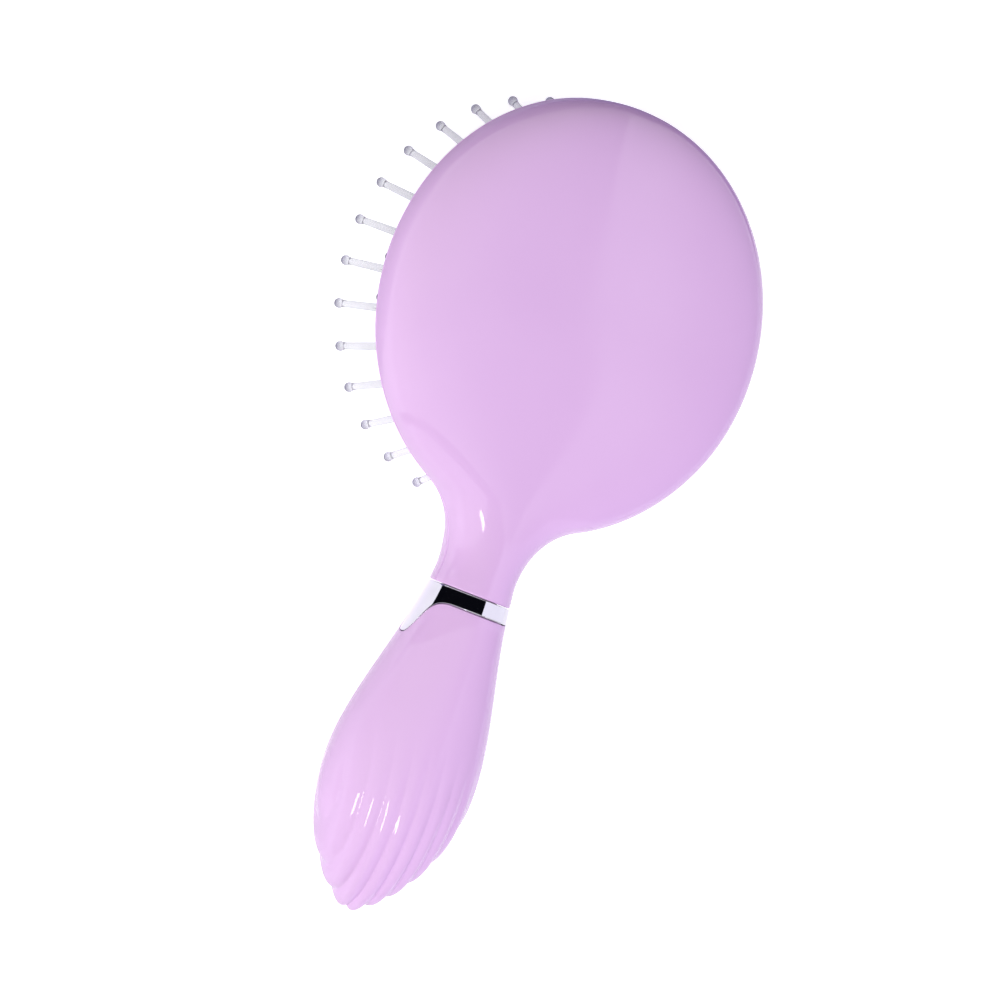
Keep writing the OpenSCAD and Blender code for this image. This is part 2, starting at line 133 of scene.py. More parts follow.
def clearPinNylon():
    # Clear moulded nylon, slightly milky: it bends the light behind it, so a pin is white in the middle
    # and grey at its edges. The ball is thicker, and its colour is painted grey-violet towards its tip: painted
    # shade for the dark edges that its refraction shows.
    material, tree, shader, place = newFinish("clear pin nylon")
    flow = addNode(tree, "ShaderNodeTexNoise", {"Vector": place, "Scale": 900.0, "Detail": 2.0})  # 1.1 mm
    clear = addNode(tree, "ShaderNodeMix", {
        "Factor": flow, "A": hexColour("#F6F5FB"), "B": hexColour("#FAF9FD")}, data_type="RGBA")
    # painted shade: the ball attribute darkens the ball's colour to grey-violet #716B90 towards its tip, in
    # place of the dark edges of its refraction
    ball = addNode(tree, "ShaderNodeAttribute", attribute_name="ball").outputs["Fac"]
    colour = addNode(tree, "ShaderNodeMix", {
        "Factor": ball, "A": clear, "B": hexColour("#716B90")}, data_type="RGBA")
    gloss = addNode(tree, "ShaderNodeMapRange", {
        "Value": flow, "From Min": 0.3, "From Max": 0.7, "To Min": 0.04, "To Max": 0.1})
    bump = addNode(tree, "ShaderNodeBump", {"Strength": 0.05, "Distance": 0.00005, "Height": flow})
    setInputs(shader, {
        "Base Color": colour, "Normal": bump, "Roughness": gloss, "IOR": 1.5, "Transmission Weight": 0.8})
    return material


def brightChrome():
    # Chrome plating over a polished moulding: a cool mirror with hairlines round the band.
    material, tree, shader, place = newFinish("bright chrome plate")
    stretch = addNode(tree, "ShaderNodeMapping", {"Vector": place, "Scale": (1, 26, 1)})
    # hairlines 0.15 mm apart, drawn a little wider than the real ones
    hair = addNode(tree, "ShaderNodeTexNoise", {"Vector": stretch, "Scale": 260.0, "Detail": 3.0})
    tarnish = addNode(tree, "ShaderNodeTexNoise", {"Vector": place, "Scale": 220.0, "Detail": 2.0})  # 4.5 mm
    colour = addNode(tree, "ShaderNodeMix", {
        "Factor": tarnish, "A": hexColour("#D9D6E2"), "B": hexColour("#E4E2EB")}, data_type="RGBA")
    gloss = addNode(tree, "ShaderNodeMapRange", {
        "Value": hair, "From Min": 0.35, "From Max": 0.75, "To Min": 0.03, "To Max": 0.09})
    bump = addNode(tree, "ShaderNodeBump", {"Strength": 0.03, "Distance": 0.00002, "Height": hair})
    setInputs(shader, {"Base Color": colour, "Normal": bump, "Roughness": gloss, "Metallic": 1.0})
    return material


def naturalAbs():
    # Unpainted ABS inside the brush: dull, slightly yellowed white with flow marks 6 mm apart.
    material, tree, shader, place = newFinish("natural ABS")
    flow = addNode(tree, "ShaderNodeTexNoise", {
        "Vector": place, "Scale": 180.0, "Detail": 4.0, "Distortion": 1.0})
    colour = addNode(tree, "ShaderNodeMix", {
        "Factor": flow, "A": hexColour("#D3CFC9"), "B": hexColour("#E4E0DA")}, data_type="RGBA")
    bump = addNode(tree, "ShaderNodeBump", {"Strength": 0.15, "Distance": 0.00005, "Height": flow})
    setInputs(shader, {"Base Color": colour, "Normal": bump, "Roughness": 0.5})
    return material


lilacAbs = mouldedLilacAbs()
padRubber = mouldedRubber()
pinNylon = clearPinNylon()
chromePlate = brightChrome()
innerAbs = naturalAbs()
print("finishes made")


# Meshes from grids of points

def gridFaces(rows, columns, wrapRows=False, wrapColumns=True):
    i = np.arange(rows if wrapRows else rows - 1)[:, None]
    j = np.arange(columns if wrapColumns else columns - 1)[None, :]
    a = i * columns + j
    b = i * columns + (j + 1) % columns
    c = ((i + 1) % rows) * columns + (j + 1) % columns
    d = ((i + 1) % rows) * columns + j
    return np.stack(np.broadcast_arrays(a, b, c, d), -1).reshape(-1, 4).tolist()


def endFaces(columns, at):
    # closes the end of a loop that runs along the outside and back along the inside
    return [[at + j, at + columns - 1 - j, at + columns - 2 - j, at + j + 1] for j in range(columns // 2 - 1)]


def weld(made, mesh):
    # merges doubles, so that poles and seams close, and turns the faces outwards
    bmesh.ops.remove_doubles(made, verts=made.verts, dist=0.0004)
    bmesh.ops.dissolve_degenerate(made, edges=made.edges, dist=0.0002)
    bmesh.ops.recalc_face_normals(made, faces=made.faces)
    made.to_mesh(mesh)
    made.free()


def finishMesh(mesh, finish, sharpAngle):
    mesh.materials.clear()
    mesh.materials.append(finish)
    mesh.shade_smooth()
    mesh.set_sharp_from_angle(angle=math.radians(sharpAngle))


def toMesh(name, parts, finish, sharpAngle=50):
    # parts: a grid of points and its faces, for each part
    made = bmesh.new()
    for points, faces in parts:
        verts = [made.verts.new(p) for p in points.reshape(-1, 3)]
        for face in faces:
            made.faces.new([verts[k] for k in face])
    mesh = bpy.data.meshes.new(name)
    weld(made, mesh)
    finishMesh(mesh, finish, sharpAngle)
    return addPiece(name, mesh)


def rollSteps(radius, steps=4):
    # distances from an edge and how far the surface is drawn in there, for a rounded-over edge
    turn = np.linspace(0, math.pi / 2, steps + 1)
    return radius * (1 - np.cos(turn)), radius * (1 - np.sin(turn))


def drawIn(grid, inset, centre):
    # moves the points of an outside in along its own normals
    normal = np.cross(np.gradient(grid, axis=0), np.gradient(grid, axis=1))
    length = np.linalg.norm(normal, axis=-1, keepdims=True)
    normal = np.where(length > 1e-9, normal / np.maximum(length, 1e-9), 0)
    outward = np.sign(np.sum(normal * (grid - centre), axis=-1, keepdims=True))
    return grid - normal * outward * inset[..., None]


def turned(profile, segments, centreY=0.0):
    # a closed profile of (radius, z) turned about the Z axis
    profile = np.array(profile)
    turn = np.linspace(0, 2 * math.pi, segments, endpoint=False)[:, None]
    x = profile[None, :, 0] * np.cos(turn)
    y = profile[None, :, 0] * np.sin(turn) + centreY
    z = np.broadcast_to(profile[None, :, 1], x.shape)
    return np.stack([x, y, z], -1), gridFaces(segments, len(profile), wrapRows=True)


def lathePiece(name, profile, segments, finish):
    # an open profile that starts and ends on the axis; its poles close when doubles are merged
    profile = np.array(profile)
    turn = np.linspace(0, 2 * math.pi, segments, endpoint=False)[None, :]
    x = profile[:, :1] * np.cos(turn)
    y = profile[:, :1] * np.sin(turn)
    z = np.broadcast_to(profile[:, 1:2], x.shape)
    return toMesh(name, [(np.stack([x, y, z], -1), gridFaces(len(profile), segments))], finish, 60)


# Geometry Nodes trees

def newTree(name, inputs):
    tree = bpy.data.node_groups.new(name, "GeometryNodeTree")
    for key, kind in {"Geometry": "Geometry", **inputs, "Finish": "Material"}.items():
        tree.interface.new_socket(key, in_out="INPUT", socket_type="NodeSocket" + kind)
    tree.interface.new_socket("Geometry", in_out="OUTPUT", socket_type="NodeSocketGeometry")
    return tree, addNode(tree, "NodeGroupInput").outputs


def endTree(tree, geometry, finish):
    real = addNode(tree, "GeometryNodeRealizeInstances", {"Geometry": geometry})
    finished = addNode(tree, "GeometryNodeSetMaterial", {"Geometry": real, "Material": finish})
    addNode(tree, "NodeGroupOutput", {0: finished})
    return tree


def runTree(piece, tree, values):
    # gives the modifier its values, then keeps what it makes as the piece's plain mesh
    modifier = piece.modifiers.new(tree.name, "NODES")
    modifier.node_group = tree
    for item in tree.interface.items_tree:
        if item.in_out == "INPUT" and item.name in values:
            modifier[item.identifier] = values[item.name]
    keepResult(piece)


def keepResult(piece):
    bpy.context.view_layer.update()
    piece.data = bpy.data.meshes.new_from_object(piece.evaluated_get(bpy.context.evaluated_depsgraph_get()))
    piece.modifiers.clear()


# The collar and the fluted handle below it

collar = {
    "radius": 8.65,
    "band": 3.3,
    "tongueDrop": 8.3,
    "tongueHalfAngle": 49.0,
    "tongueTurn": 8.0,      # degrees from the sides towards the front
    "tongueShare": 0.39,    # share of the half angle at which a tongue is half as long
    "tonguePower": 3.7,
    "wall": 0.9,
    "edgeRoll": 0.07,
    "columns": 360,
    "crowding": 20.0,       # degrees by which the columns crowd to the two tongues
    "rows": 14,
}
handle = {
    "length": 68.0,
    "bellyAt": 39.2,
    "bellyHalfWidth": 16.6,
    "bellyHalfThickness": 12.3,
    "flare": 0.12,
    "endPower": 1.46,
    "tilt": 4.0,            # degrees down towards the pins
    "wall": 2.5,
    "underStep": 1.0,       # how far the handle steps in under the collar
    "seam": 0.2,
    "blendRun": 5.0,        # rows below the tongues straighten over this much
    "edgeRoll": 0.16,
    "seamRoll": 0.05,       # the welded seam of the two halves is polished nearly flush
    "seamAngle": 0.3,       # degrees round the handle that its edge takes
    "sideSteps": 110,
    "rows": (10, 36, 70),   # under the tongues, to the belly, and round the end
}
flutes = {
    "Pitch": 3.7,
    "Depth": 1.2,           # at the handle's end
    "Start": 27.0,          # the flutes begin this far down the handle
    "Full depth": 59.0,     # and are full from here on
    "Lean": 0.15,           # run across for each millimetre down
    "Softness": 0.012,      # 0 would be a sharp crease between two flutes
    "Centre share": 0.2,    # where the flutes are drawn in to, from the belly to the end
}
tilt = math.radians(handle["tilt"])
fluteCentre = handle["bellyAt"] + flutes["Centre share"] * (handle["length"] - handle["bellyAt"])
fluteDraw = flutes["Depth"] / (handle["length"] - fluteCentre)


def widen(s, belly):
    # half width of the collar and handle at a distance below the collar's top, down to the belly
    t = s / handle["bellyAt"]
    start, rise = collar["radius"], handle["flare"] * handle["bellyAt"]
    fall, slope, climb = 2 * t ** 3 - 3 * t * t + 1, t ** 3 - 2 * t * t + t, 3 * t * t - 2 * t ** 3
    return start * fall + rise * slope + belly * climb


def collarEdge(angle):
    # lower edge of the collar at an angle in degrees round from the back; the tongues hang at the sides
    at = 90 + collar["tongueTurn"]
    away = np.min([np.abs(angle - at), np.abs(angle + at), np.abs(angle - 360 + at)], axis=0)
    away = away / collar["tongueHalfAngle"]
    fall, last = (1 / (1 + (x / collar["tongueShare"]) ** collar["tonguePower"]) for x in (away, 1))
    return collar["band"] + collar["tongueDrop"] * np.where(away >= 1, 0, (fall - last) / (1 - last))


def tubeGrid(s, angles, inset):
    wide = (widen(s, handle["bellyHalfWidth"]) - inset) * np.sin(angles)
    thick = (widen(s, handle["bellyHalfThickness"]) - inset) * np.cos(angles)
    return np.stack([wide, -s, thick], -1)


def makeCollar():
    turn = np.linspace(0, 360, collar["columns"], endpoint=False)
    turn = turn + collar["crowding"] * np.sin(np.radians(2 * turn))
    top, low = handle["seam"] / 2, collarEdge(turn)
    distance, drawn = rollSteps(collar["edgeRoll"])
    share = np.linspace(0, 1, collar["rows"] + 1)[1:-1]
    levels = [top + d + 0 * turn for d in distance]
    levels += [top + distance[-1] + (low - top - 2 * distance[-1]) * k for k in share]
    levels += [low - d for d in distance[::-1]]
    insets = list(drawn) + [0] * len(share) + list(drawn[::-1])
    # the same rows again, backwards, are the inside
    levels += levels[::-1]
    insets += [collar["wall"]] * len(insets)
    points = tubeGrid(np.array(levels), np.radians(turn)[None, :], np.array(insets)[:, None])
    return toMesh("collarBand", [(points, gridFaces(*points.shape[:2], wrapRows=True))], chromePlate, 40)


def fluteTree():
    # draws the points of a plain handle in towards a place on its middle line, in flutes
    sizes = ("Pitch", "Draw", "Start", "Full depth", "Lean", "Softness", "Belly", "Centre")
    tree, given = newTree("handleFlutes", dict.fromkeys(sizes, "Float"))
    place = addNode(tree, "GeometryNodeInputPosition")
    parts = addNode(tree, "ShaderNodeSeparateXYZ", {0: place}).outputs
    # how many flutes a point is from the middle one, which leans as it runs down
    down = addNode(tree, "ShaderNodeMath", {0: parts["Y"], 1: -1.0}, operation="MULTIPLY")
    belowBelly = addNode(tree, "ShaderNodeMath", {0: down, 1: given["Belly"]}, operation="SUBTRACT")
    lean = addNode(tree, "ShaderNodeMath", {0: given["Lean"], 1: belowBelly}, operation="MULTIPLY")
    across = addNode(tree, "ShaderNodeMath", {0: parts["X"], 1: lean}, operation="SUBTRACT")
    count = addNode(tree, "ShaderNodeMath", {0: across, 1: given["Pitch"]}, operation="DIVIDE")
    count = addNode(tree, "ShaderNodeMath", {0: count, 1: 0.25}, operation="SUBTRACT")
    # rounded ridges with a soft crease between them
    turn = addNode(tree, "ShaderNodeMath", {0: count, 1: math.pi}, operation="MULTIPLY")
    wave = addNode(tree, "ShaderNodeMath", {0: turn}, operation="COSINE")
    square = addNode(tree, "ShaderNodeMath", {0: wave, 1: wave}, operation="MULTIPLY")
    soft = addNode(tree, "ShaderNodeMath", {0: square, 1: given["Softness"]}, operation="ADD")
    ridge = addNode(tree, "ShaderNodeMath", {0: soft}, operation="SQRT")
    groove = addNode(tree, "ShaderNodeMath", {0: 1.0, 1: ridge}, operation="SUBTRACT")
    # only on the outside, and fading in down the handle
    outside = addNode(tree, "GeometryNodeInputNamedAttribute", {"Name": "outside"}, data_type="FLOAT")
    groove = addNode(tree, "ShaderNodeMath", {0: groove, 1: outside}, operation="MULTIPLY")
    fade = addNode(tree, "ShaderNodeMapRange", {
        "Value": down, "From Min": given["Start"], "From Max": given["Full depth"]},
        interpolation_type="SMOOTHSTEP")
    groove = addNode(tree, "ShaderNodeMath", {0: groove, 1: fade}, operation="MULTIPLY")
    drawn = addNode(tree, "ShaderNodeMath", {0: groove, 1: given["Draw"]}, operation="MULTIPLY")
    kept = addNode(tree, "ShaderNodeMath", {0: 1.0, 1: drawn}, operation="SUBTRACT")
    centreY = addNode(tree, "ShaderNodeMath", {0: given["Centre"], 1: -1.0}, operation="MULTIPLY")
    centre = addNode(tree, "ShaderNodeCombineXYZ", {"Y": centreY})
    arm = addNode(tree, "ShaderNodeVectorMath", {0: place, 1: centre}, operation="SUBTRACT")
    shorter = addNode(tree, "ShaderNodeVectorMath", {0: arm, "Scale": kept}, operation="SCALE")
    moved = addNode(tree, "ShaderNodeVectorMath", {0: centre, 1: shorter}, operation="ADD")
    shaped = addNode(tree, "GeometryNodeSetPosition", {"Geometry": given["Geometry"], "Position": moved})
    return endTree(tree, shaped, given["Finish"])


def makeHandleHalf(name, side):
    belly, length, wall = handle["bellyAt"], handle["length"], handle["wall"]
    wide, thick = handle["bellyHalfWidth"], handle["bellyHalfThickness"]
    underRows, bellyRows, endRows = handle["rows"]
    distance, drawn = rollSteps(handle["edgeRoll"])
    # angles round from the side at -X over the outside, with the welded seam's small edges
    seamDistance, seamInset = rollSteps(1, 3)
    edge = np.radians(seamDistance * handle["seamAngle"])
    quarter = np.concatenate([edge, np.linspace(edge[-1], math.pi / 2, handle["sideSteps"] + 1)[1:]])
    a = np.concatenate([quarter, math.pi - quarter[-2::-1]]) - math.pi / 2
    seamDrawn = np.concatenate([seamInset, np.zeros(handle["sideSteps"])])
    seamDrawn = np.concatenate([seamDrawn, seamDrawn[-2::-1]]) * handle["seamRoll"]
    # rows of distance below the collar's top and inset, from the step under the collar to the belly
    edgeHere = collarEdge(np.degrees(a) if side > 0 else 180 - np.degrees(a))
    top, step = edgeHere + handle["seam"], handle["underStep"]
    rows = [(0 * a + handle["seam"], step), (edgeHere / 2, step), (top, step)]
    rows += [(top + d, i) for d, i in zip(distance, drawn)]
    start = top + distance[-1]
    blendAt = collar["band"] + collar["tongueDrop"] + handle["blendRun"]
    rows += [(start + (blendAt - start) * k / underRows, 0) for k in range(1, underRows)]
    rows += [(0 * a + blendAt + (belly - blendAt) * k / bellyRows, 0) for k in range(bellyRows)]
    s = np.array([r[0] for r in rows])
    inset = np.array([r[1] for r in rows])[:, None] + seamDrawn[None, :]
    turn = np.linspace(0, math.pi / 2, endRows + 1)[:, None]
    k = np.cos(turn) ** handle["endPower"]
    k[-1] = 0
    sEnd = belly + (length - belly) * np.sin(turn) + 0 * a[None, :]
    cap = np.stack([(wide - seamDrawn) * k * np.sin(a), -sEnd, (thick - seamDrawn) * k * np.cos(a)], -1)
    outside = np.concatenate([tubeGrid(s, a, inset), cap])
    # the inside is plain
    sIn = np.linspace(handle["seam"], belly, len(rows) + 1)[:-1, None] + 0 * a[None, :]
    sEndIn = belly + (length - belly - wall) * np.sin(turn) + 0 * a[None, :]
    capIn = np.stack([(wide - wall) * k * np.sin(a), -sEndIn, (thick - wall) * k * np.cos(a)], -1)
    inside = np.concatenate([tubeGrid(sIn, a, wall), capIn])
    for grid in (outside, inside):
        grid[:, [0, -1], 2] = 0
    loops = np.concatenate([outside, inside[:, ::-1]], axis=1) * [1, 1, side]
    count, columns = loops.shape[:2]
    mesh = bpy.data.meshes.new(name)
    mesh.from_pydata(loops.reshape(-1, 3).tolist(), [], gridFaces(count, columns) + endFaces(columns, 0))
    amount = np.zeros((count, columns), np.float32)
    amount[:, :columns // 2] = 1
    mesh.attributes.new("outside", "FLOAT", "POINT").data.foreach_set("value", amount.ravel())
    piece = addPiece(name, mesh)
    values = {key: flutes[key] for key in ("Pitch", "Start", "Full depth", "Lean", "Softness")}
    values.update({"Draw": fluteDraw, "Belly": belly, "Centre": fluteCentre, "Finish": lilacAbs})
    runTree(piece, handleFlutes, values)
    closed = bmesh.new()
    closed.from_mesh(piece.data)
    weld(closed, piece.data)
    finishMesh(piece.data, lilacAbs, 55)
    return piece


# The head: a domed back shell and a front frame, each with its half of the neck

head = {
    "radius": 43.9,
    "centreY": 59.0,
    "backHeight": 12.0,
    "backPower": 3.1,       # fullness of the dome, 2 would be an ellipse
    "wall": 2.0,
    "neckRadius": 8.2,
    "neckSweep": 16.0,      # radius of the curve from the neck out into the head
    "neckRun": 6.5,         # the neck's front keeps its depth over this much
    "frontShare": 0.8,      # and falls to this share of the frame's height
    "frameHeight": 5.6,
    "framePower": 1.3,      # 1 would be a straight slope
    "skirtSlope": 1.2,      # how steeply the frame's slope is carried on past the rim, into the neck
    "bezelInner": 38.55,
    "bezelFlat": 0.4,
    "bezelBevel": 0.3,
    "seatRadius": 39.8,
    "seatTop": 1.2,         # how far below the parting plane the pad's seat ends
    "rimTop": 0.6,          # and the full wall of the rim begins
    "ledge": 4.25,
    "partingGap": 0.1,      # half of the seam between the two shells
    "edgeRoll": 0.22,       # the moulded edges are rounded over by this
    "fillet": 1.6,          # where the neck's front runs into the frame
    "skinLap": 0.03,        # the neck's skin lies this far under the frame's, so that they don't mix
    "rows": (9, 36, 96),    # up the neck, round its sweep and round the head
    "archSteps": 44,
    "ringSteps": 240,
    "slopeSteps": 40,
    "slopeCrowding": 1.15,  # the steps crowd to the rim
}
fillReach = head["radius"] + head["neckSweep"]
sweepX = head["neckRadius"] + head["neckSweep"]
sweepY = head["centreY"] - math.sqrt(fillReach ** 2 - sweepX ** 2)
sweepAngle = math.acos(sweepX / fillReach)


def outlineRows(inset):
    # half width and place of each row, from the collar up to the top of the head
    neckRows, sweepRows, headRows = head["rows"]
    roll = head["edgeRoll"]
    y = np.concatenate([rollSteps(roll)[0][:-1], np.linspace(roll, sweepY, neckRows + 1)[:-1]])
    halfWidth = collar["radius"] + (head["neckRadius"] - collar["radius"]) * ease(y / sweepY) - inset
    a = sweepAngle * np.arange(sweepRows) / sweepRows
    r = head["neckSweep"] + inset
    b = np.linspace(math.pi / 2 - sweepAngle, math.pi, headRows + 1)
    q = head["radius"] - inset
    x = np.concatenate([halfWidth, sweepX - r * np.cos(a), q * np.sin(b)])
    x[-1] = 0
    return x, np.concatenate([y, sweepY + r * np.sin(a), head["centreY"] - q * np.cos(b)])


def archAngles(height, power, roll):
    # angles round half a cross-section and the inset there, one row of them for each row of the outline
    height = np.maximum(height, 1e-6)[:, None]
    m = power[:, None] / 2
    reach = np.minimum(roll, 0.4 * height) + 1e-9
    distance, drawn = (steps[None, :] * reach for steps in rollSteps(1))
    edge = np.arcsin(np.clip(distance / height, 0, 1) ** m)
    u = np.linspace(0, 1, head["archSteps"] + 1)[1:][None, :]
    spread = u ** m / (u ** m + (1 - u) ** m)
    rest = edge[:, -1:] + (math.pi / 2 - edge[:, -1:]) * spread
    quarter = np.concatenate([edge, rest], axis=1)
    inset = np.concatenate([drawn, np.zeros_like(rest)], axis=1)
    return (np.concatenate([quarter, math.pi - quarter[:, -2::-1]], axis=1),
            np.concatenate([inset, inset[:, -2::-1]], axis=1))


def archGrid(halfWidth, y, height, power, angles, side):
    cosine = np.cos(angles)
    p = 2 / power[:, None]
    x = halfWidth[:, None] * np.sign(cosine) * np.abs(cosine) ** p
    z = side * height[:, None] * np.abs(np.sin(angles)) ** p
    z[:, 0] = z[:, -1] = 0
    # the neck's end is cut square to the tipped handle, and the cut fades out up the neck
    shift = (handle["seam"] / 2 - z * math.tan(tilt)) * (1 - ease(y / sweepY))[:, None]
    return np.stack([x, y[:, None] + shift, z], -1)


def rollEdges(grid, inset, centreY):
    # rounds over the parting edge, by the inset of each point, and the neck's end, row by row
    rowInset = np.zeros(len(grid))
    drawn = rollSteps(head["edgeRoll"])[1]
    rowInset[:len(drawn)] = drawn
    centre = np.stack([0 * centreY, centreY, 0 * centreY], -1)[:, None, :]
    return drawIn(grid, np.maximum(inset, rowInset[:, None]), centre)


def backCrown(y, inset):
    t = np.clip((y - head["centreY"]) / (head["radius"] - inset), 0, 1)
    upper = (head["backHeight"] - inset) * (1 - t ** head["backPower"]) ** (1 / head["backPower"])
    lower = head["neckRadius"] + (head["backHeight"] - head["neckRadius"]) * ease(y / head["centreY"]) - inset
    return np.where(y < head["centreY"], lower, upper)


def backPower(y):
    return 2 + (head["backPower"] - 2) * ease((y - sweepY) / head["radius"])


def makeBackShell():
    roll = head["edgeRoll"]
    x, y = outlineRows(0)
    # the last row, at the top of the head, has room for the rolled edge
    height = np.maximum(backCrown(y, 0), 2.5 * roll * (y >= head["centreY"] + head["radius"] - 1e-6))
    angles, inset = archAngles(height, backPower(y), roll)
    outside = rollEdges(archGrid(x, y, height, backPower(y), angles, 1), inset, np.minimum(y, head["centreY"]))
    xIn, yIn = outlineRows(head["wall"])
    heightIn = np.maximum(backCrown(yIn, head["wall"]), 0.01)
    inside = archGrid(xIn, yIn, heightIn, backPower(yIn), archAngles(heightIn, backPower(yIn), 0.02)[0], 1)
    loops = np.concatenate([outside, inside[:, ::-1]], axis=1)
    rows, columns = loops.shape[:2]
    return toMesh("backShell", [(loops, gridFaces(rows, columns) + endFaces(columns, 0))], lilacAbs)


def frameDepth(x, y):
    # depth of the turned frame's sloping outside below the parting plane
    r = np.hypot(x, y - head["centreY"])
    run = head["radius"] - head["bezelInner"] - head["bezelFlat"]
    c = np.clip(1 - (head["radius"] - r) / run, 0, 1) ** (head["framePower"] / 2)
    s = np.sqrt(1 - c * c) ** (2 / head["framePower"])
    gap = head["partingGap"]
    return gap + (head["frameHeight"] - gap) * s - head["skirtSlope"] * np.maximum(r - head["radius"], 0)


def neckDepth(y, inset, endY):
    fall = ease((y - head["neckRun"]) / (endY - head["neckRun"]))
    return head["neckRadius"] + (head["frontShare"] * head["frameHeight"] - head["neckRadius"]) * fall - inset


def frontNeck():
    # the neck's front half, which ends in the pad's seat and runs into the frame with a fillet
    gap, wall = head["partingGap"], head["wall"]
    endY = head["centreY"] - head["seatRadius"]
    x, y = outlineRows(0)
    before = y < endY - 0.02    # a row closer than this would be a sliver
    x = np.append(x[before], math.sqrt(head["radius"] ** 2 - head["seatRadius"] ** 2))
    y = np.append(y[before], endY)
    two = np.full(len(y), 2.0)
    height = neckDepth(y, gap, endY)
    angles, inset = archAngles(height, two, head["edgeRoll"])
    outside = archGrid(x, y, height, two, angles, -1)
    deep = -outside[..., 2] + gap
    ring = frameDepth(outside[..., 0], outside[..., 1]) - head["skinLap"]
    soft = np.clip((deep + ring - 2 * gap) / 2, 1e-6, head["fillet"])
    near = np.maximum(soft - np.abs(deep - ring), 0)
    outside[..., 2] = -(np.maximum(deep, ring) + near * near / (4 * soft))
    outside = rollEdges(outside, inset, y)
    heightIn = neckDepth(y, wall, endY)
    inside = archGrid(x - wall, y, heightIn, two, archAngles(heightIn, two, 0.02)[0], -1)
    inside[..., 2] -= gap
    loops = np.concatenate([outside, inside[:, ::-1]], axis=1)
    rows, columns = loops.shape[:2]
    return loops, gridFaces(rows, columns) + endFaces(columns, 0) + endFaces(columns, (rows - 1) * columns)


def turnedFrame():
    # from the rolled rim over the slope to the bezel, and back by the pad's seat
    radius, roll, gap = head["radius"], head["edgeRoll"], head["partingGap"]
    inner, seat, inside = head["bezelInner"], head["seatRadius"], head["radius"] - head["wall"]
    run, bevel = radius - inner - head["bezelFlat"], head["bezelBevel"]
    a = np.linspace(0, math.pi / 2, head["slopeSteps"]) ** head["slopeCrowding"]
    a *= math.pi / 2 / a[-1]
    power, tall = 2 / head["framePower"], head["frameHeight"] - gap
    slope = [(radius - run * (1 - math.cos(t) ** power), -gap - tall * math.sin(t) ** power) for t in a]
    profile = [(radius - s, -gap - d) for d, s in zip(*rollSteps(roll))]
    profile += [p for p in slope if p[1] < -gap - roll]
    profile += [(inner + bevel * (1 - math.sin(t)), -head["frameHeight"] + bevel * (1 - math.cos(t)))
                for t in np.linspace(0, math.pi / 2, 7)]
    profile += [(inner, -head["ledge"]), (seat, -head["ledge"]), (seat, -head["seatTop"]),
                (inside, -head["rimTop"]), (inside, -gap)]
    return turned(profile, head["ringSteps"], head["centreY"])


backShell = makeBackShell()
frontFrame = toMesh("frontFrame", [frontNeck(), turnedFrame()], lilacAbs, 40)
print("head shells made:", len(backShell.data.polygons), "and", len(frontFrame.data.polygons), "faces")
collarBand = makeCollar()
handleFlutes = fluteTree()
handleBack = makeHandleHalf("handleBack", 1)
handleFront = makeHandleHalf("handleFront", -1)
print("collar and handle made:", len(handleBack.data.polygons), "faces a half")


# The cushion and its pins, drawn round the head's middle line

cushion = {
    "radius": 38.3,
    "edgeDepth": 4.2,
    "crown": 7.2,
    "power": 3.5,           # fullness of the crown, 2 would be a parabola
    "rubber": 1.5,
    "footRun": 0.12,        # the crown's foot runs out flat over this much
    "flange": 1.4,
    "flangeRound": 0.1,
    "ventRadius": 0.6,
    "ventAt": 12.9,
    "ventAngle": 30.0,
    # radius and height of the small raised lip that the rubber forms round each pin
    "pinLip": ((0, 0.25), (1.95, 0.25), (1.9, 0.02), (1.78, -0.06), (1.62, -0.2), (1.42, -0.33), (1.2, -0.38),
               (1.04, -0.36), (0.96, -0.28), (0.93, -0.1), (0, -0.1)),
    # the same round the vent, from its edge
    "ventLip": ((0, 0.2), (0.75, 0.2), (0.7, 0.0), (0.5, -0.16), (0.25, -0.22), (0.06, -0.16), (0, -0.05)),
}
pin = {
    "length": 14.6,
    "ballRadius": 1.02,
    "baseRadius": 0.88,
    "tipRadius": 0.72,
    "flangeRadius": 1.8,
    "flangeThickness": 0.8,
    "flangeRound": 0.15,
    "flangeBevel": 0.1,
    "fit": 0.1,
    "joinShare": 0.9,       # the stem's hollow curve meets the ball at this share of its radius
    "joinRun": 1.4,         # and takes this much of the stem
    "joinPower": 3.4,
    "paintedShadeStart": 0.3,       # the painted shade, which greys the ball towards its tip, starts this far before the ball
    "paintedShadeRun": 2.2,
    "facets": 20,
}
pinRings = {
    "pins_ring_1": {"body": "outer_pins", "radius": 34.8, "pins": 30, "turn": 90.0},
    "pins_ring_2": {"body": "second_pins", "radius": 25.797, "pins": 22, "turn": 90 + 180 / 22},
    "pins_ring_3": {"body": "third_pins", "radius": 17.198, "pins": 15, "turn": 90.0},
    "pins_ring_4": {"body": "inner_pins", "radius": 8.599, "pins": 8, "turn": 90 + 180 / 8},
    "centre_pin": {"body": "inner_pins", "radius": 0.0, "pins": 1, "turn": 0.0},
}


def padDepth(r):
    return cushion["edgeDepth"] + cushion["crown"] * (1 - (r / cushion["radius"]) ** cushion["power"])


def padLean(r):
    steepest = cushion["crown"] * cushion["power"] / cushion["radius"]
    return math.atan(steepest * (r / cushion["radius"]) ** (cushion["power"] - 1))


